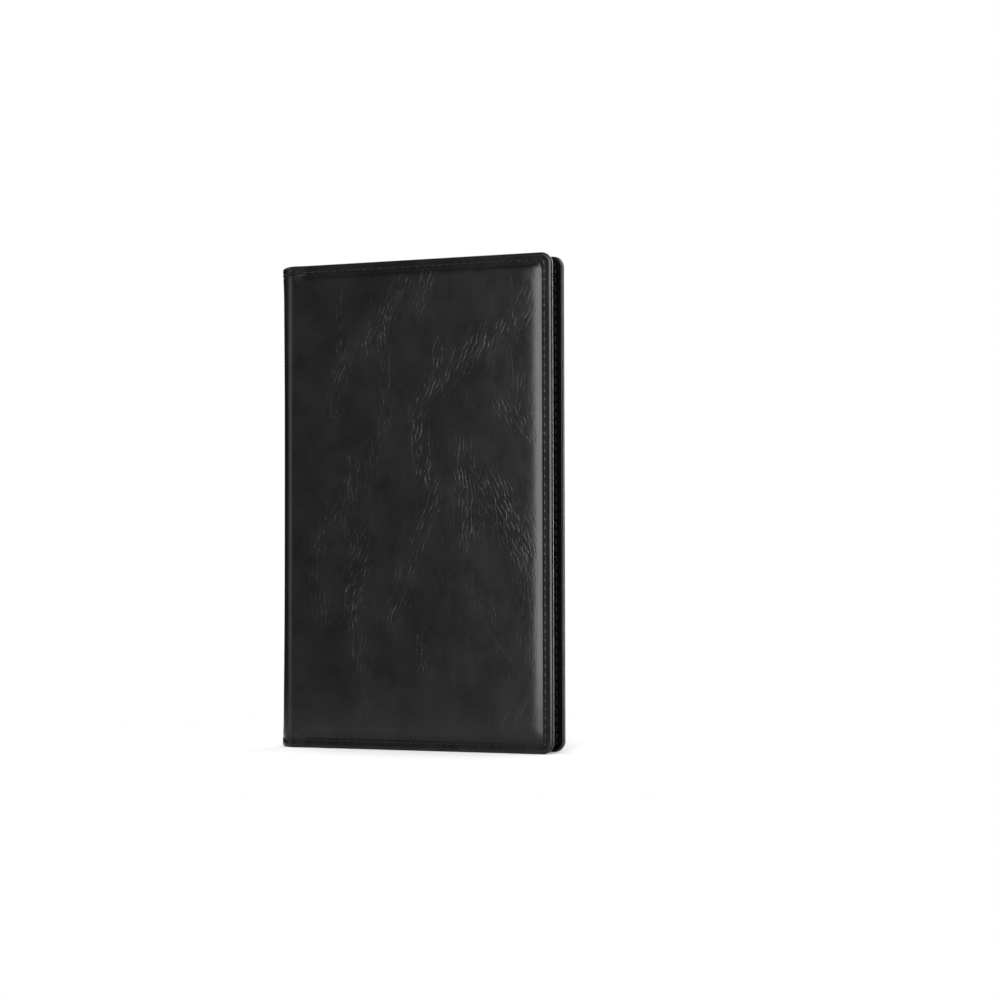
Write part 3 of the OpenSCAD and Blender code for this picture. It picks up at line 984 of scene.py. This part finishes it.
def build_hard_parts(materials):
    """The tray, plates and magnets with rounded edges, and the boards as they are."""
    for node, body, width, slot, material in HARD_PARTS:
        piece = softened(f"{node}_finished", node, width)
        dress(piece, materials[material])
        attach(piece, body)
        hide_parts(node)
    for node in ("front_board", "back_board"):
        dress_node(node, materials["board"])
    dress_node("tray_adhesive", materials["adhesive"])


# ---- studio ----

LIT_POINT = Vector((0, 0, 0.11))
# name, azimuth and elevation in degrees, distance and size in metres, power in watts
LIGHTS = (
    ("key", 19, 9, 1.5, (1.5, 1.4), 66),
    ("left_strip", -53, 9, 1.3, (0.6, 0.75), 3.3),
    ("left_side", -105, 48, 1.9, (1.6, 1.6), 19),
    ("right_side", 105, 48, 1.9, (1.6, 1.6), 19),
    ("overhead", -25, 78, 1.6, (0.8, 0.6), 7),
    ("rear", 168, 12, 1.5, (0.7, 1.4), 18),
)
# the light felt from the surroundings: little from above, and the studio floor's from below
BOUNCE = {"From Min": -0.42, "From Max": -0.12, "To Min": 0.8, "To Max": 0.03}
FLOOR_R = 0.22


def towards(azimuth, elevation):
    """Unit vector from the case. Azimuth 0 is in front of the front cover."""
    return Vector((math.sin(azimuth) * math.cos(elevation),
                   -math.cos(azimuth) * math.cos(elevation), math.sin(elevation)))


def area_light(name, azimuth, elevation, distance, size, power):
    """A soft box, square to the case."""
    away = towards(math.radians(azimuth), math.radians(elevation))
    data = bpy.data.lights.new(name, "AREA")
    data.shape = "RECTANGLE"
    data.size, data.size_y = size
    data.energy = power
    lamp = linked(bpy.data.objects.new(name, data))
    lamp.location = LIT_POINT + away * distance
    lamp.rotation_euler = away.to_track_quat("Z", "Y").to_euler()


def build_floor():
    """A pale disc that the case stands on."""
    mesh = bpy.data.meshes.new("floor")
    made = bmesh.new()
    bmesh.ops.create_circle(made, cap_ends=True, segments=128, radius=FLOOR_R)
    made.to_mesh(mesh)
    made.free()
    floor = linked(bpy.data.objects.new("floor", mesh))
    dress(floor, floor_material())


def build_world():
    """White where the camera sees it, and felt by the case as BOUNCE says."""
    world = bpy.data.worlds.new("studio")
    world.use_nodes = True
    nodes, links = world.node_tree.nodes, world.node_tree.links
    nodes.clear()
    seen, felt = nodes.new("ShaderNodeBackground"), nodes.new("ShaderNodeBackground")
    seen.inputs["Color"].default_value = grey(1.0)
    seen.inputs["Strength"].default_value = 1.0
    felt.inputs["Color"].default_value = grey(1.0)
    toward, parts = nodes.new("ShaderNodeTexCoord"), nodes.new("ShaderNodeSeparateXYZ")
    bounce = nodes.new("ShaderNodeMapRange")
    for name, value in BOUNCE.items():
        bounce.inputs[name].default_value = value
    path, mixed = nodes.new("ShaderNodeLightPath"), nodes.new("ShaderNodeMixShader")
    out = nodes.new("ShaderNodeOutputWorld")
    for start, end in ((toward.outputs["Generated"], parts.inputs[0]),
                       (parts.outputs["Z"], bounce.inputs["Value"]),
                       (bounce.outputs[0], felt.inputs["Strength"]),
                       (path.outputs["Is Camera Ray"], mixed.inputs[0]),
                       (felt.outputs[0], mixed.inputs[1]),
                       (seen.outputs[0], mixed.inputs[2]),
                       (mixed.outputs[0], out.inputs["Surface"])):
        links.new(start, end)
    bpy.context.scene.world = world


def build_camera():
    """Slightly below the middle of the case, to the right of the front cover's normal."""
    azimuth = math.radians(21.85)
    elevation = math.radians(-1.89)
    roll = math.radians(-0.13)
    distance = 1.025
    shift_right = 0.03638
    shift_up = 0.00208
    back = towards(azimuth, elevation)
    right = Vector((math.cos(azimuth), math.sin(azimuth), 0))
    up = back.cross(right)
    rolled_right = math.cos(roll) * right + math.sin(roll) * up
    rolled_up = -math.sin(roll) * right + math.cos(roll) * up
    data = bpy.data.cameras.new("camera")
    data.lens = 81.79
    data.sensor_width = 36
    camera = linked(bpy.data.objects.new("camera", data))
    spot = Vector((0, 0, MID_Z * MM)) + right * shift_right + up * shift_up + back * distance
    turn = Matrix((rolled_right, rolled_up, back)).transposed()
    camera.matrix_world = Matrix.Translation(spot) @ turn.to_4x4()
    bpy.context.scene.camera = camera


# ---- all of it ----


def all_materials():
    """The materials by name."""
    return {
        "leather": leather("leather", specular=0.27),
        # painted shade: the hem band reflects less than the rest of the leather, so the hem and the
        # seam's groove look shaded
        "hem_leather": leather("hem_leather", specular=0.18),
        "turned_edge": border_leather("turned_edge", specular=0.34),
        # painted shade: the border is near black with specular 0.03, so the gap between the covers
        # looks as dark as its shadow
        "border": border_leather("border", specular=0.03),
        "cut_edge": border_leather("cut_edge", specular=0.03),
        "microfibre": microfibre(),
        "thread": thread(),
        "foam": plain_solid("foam", grey(0.05), grey(0.09), scale=1800, grain=0.12, rough=0.85),
        "board": plain_solid("board", (0.16, 0.13, 0.10, 1), (0.24, 0.20, 0.15, 1), scale=700,
                             grain=0.05, rough=0.75),
        "adhesive": plain_solid("adhesive", grey(0.35), grey(0.45), scale=300, grain=0.01,
                                rough=0.35),
        "plastic": plastic(),
        "steel": plain_solid("steel", grey(0.42), grey(0.52), scale=900, grain=0.01,
                             rough=0.28, metallic=1.0),
        "magnet": plain_solid("magnet", grey(0.45, 0.02), grey(0.6, 0.02), scale=400,
                              grain=0.005, rough=0.22, metallic=1.0),
    }


def main():
    """Dress the case and its studio."""
    materials = all_materials()
    build_camera()
    build_floor()
    build_world()
    for light in LIGHTS:
        area_light(*light)
    for cover in (FRONT, BACK):
        build_skin(cover, materials)
        build_facing(cover, materials)
        build_stitches(cover, materials)
        build_pad(cover, materials)
    build_hard_parts(materials)
    bpy.context.scene.view_settings.view_transform = "Standard"


main()
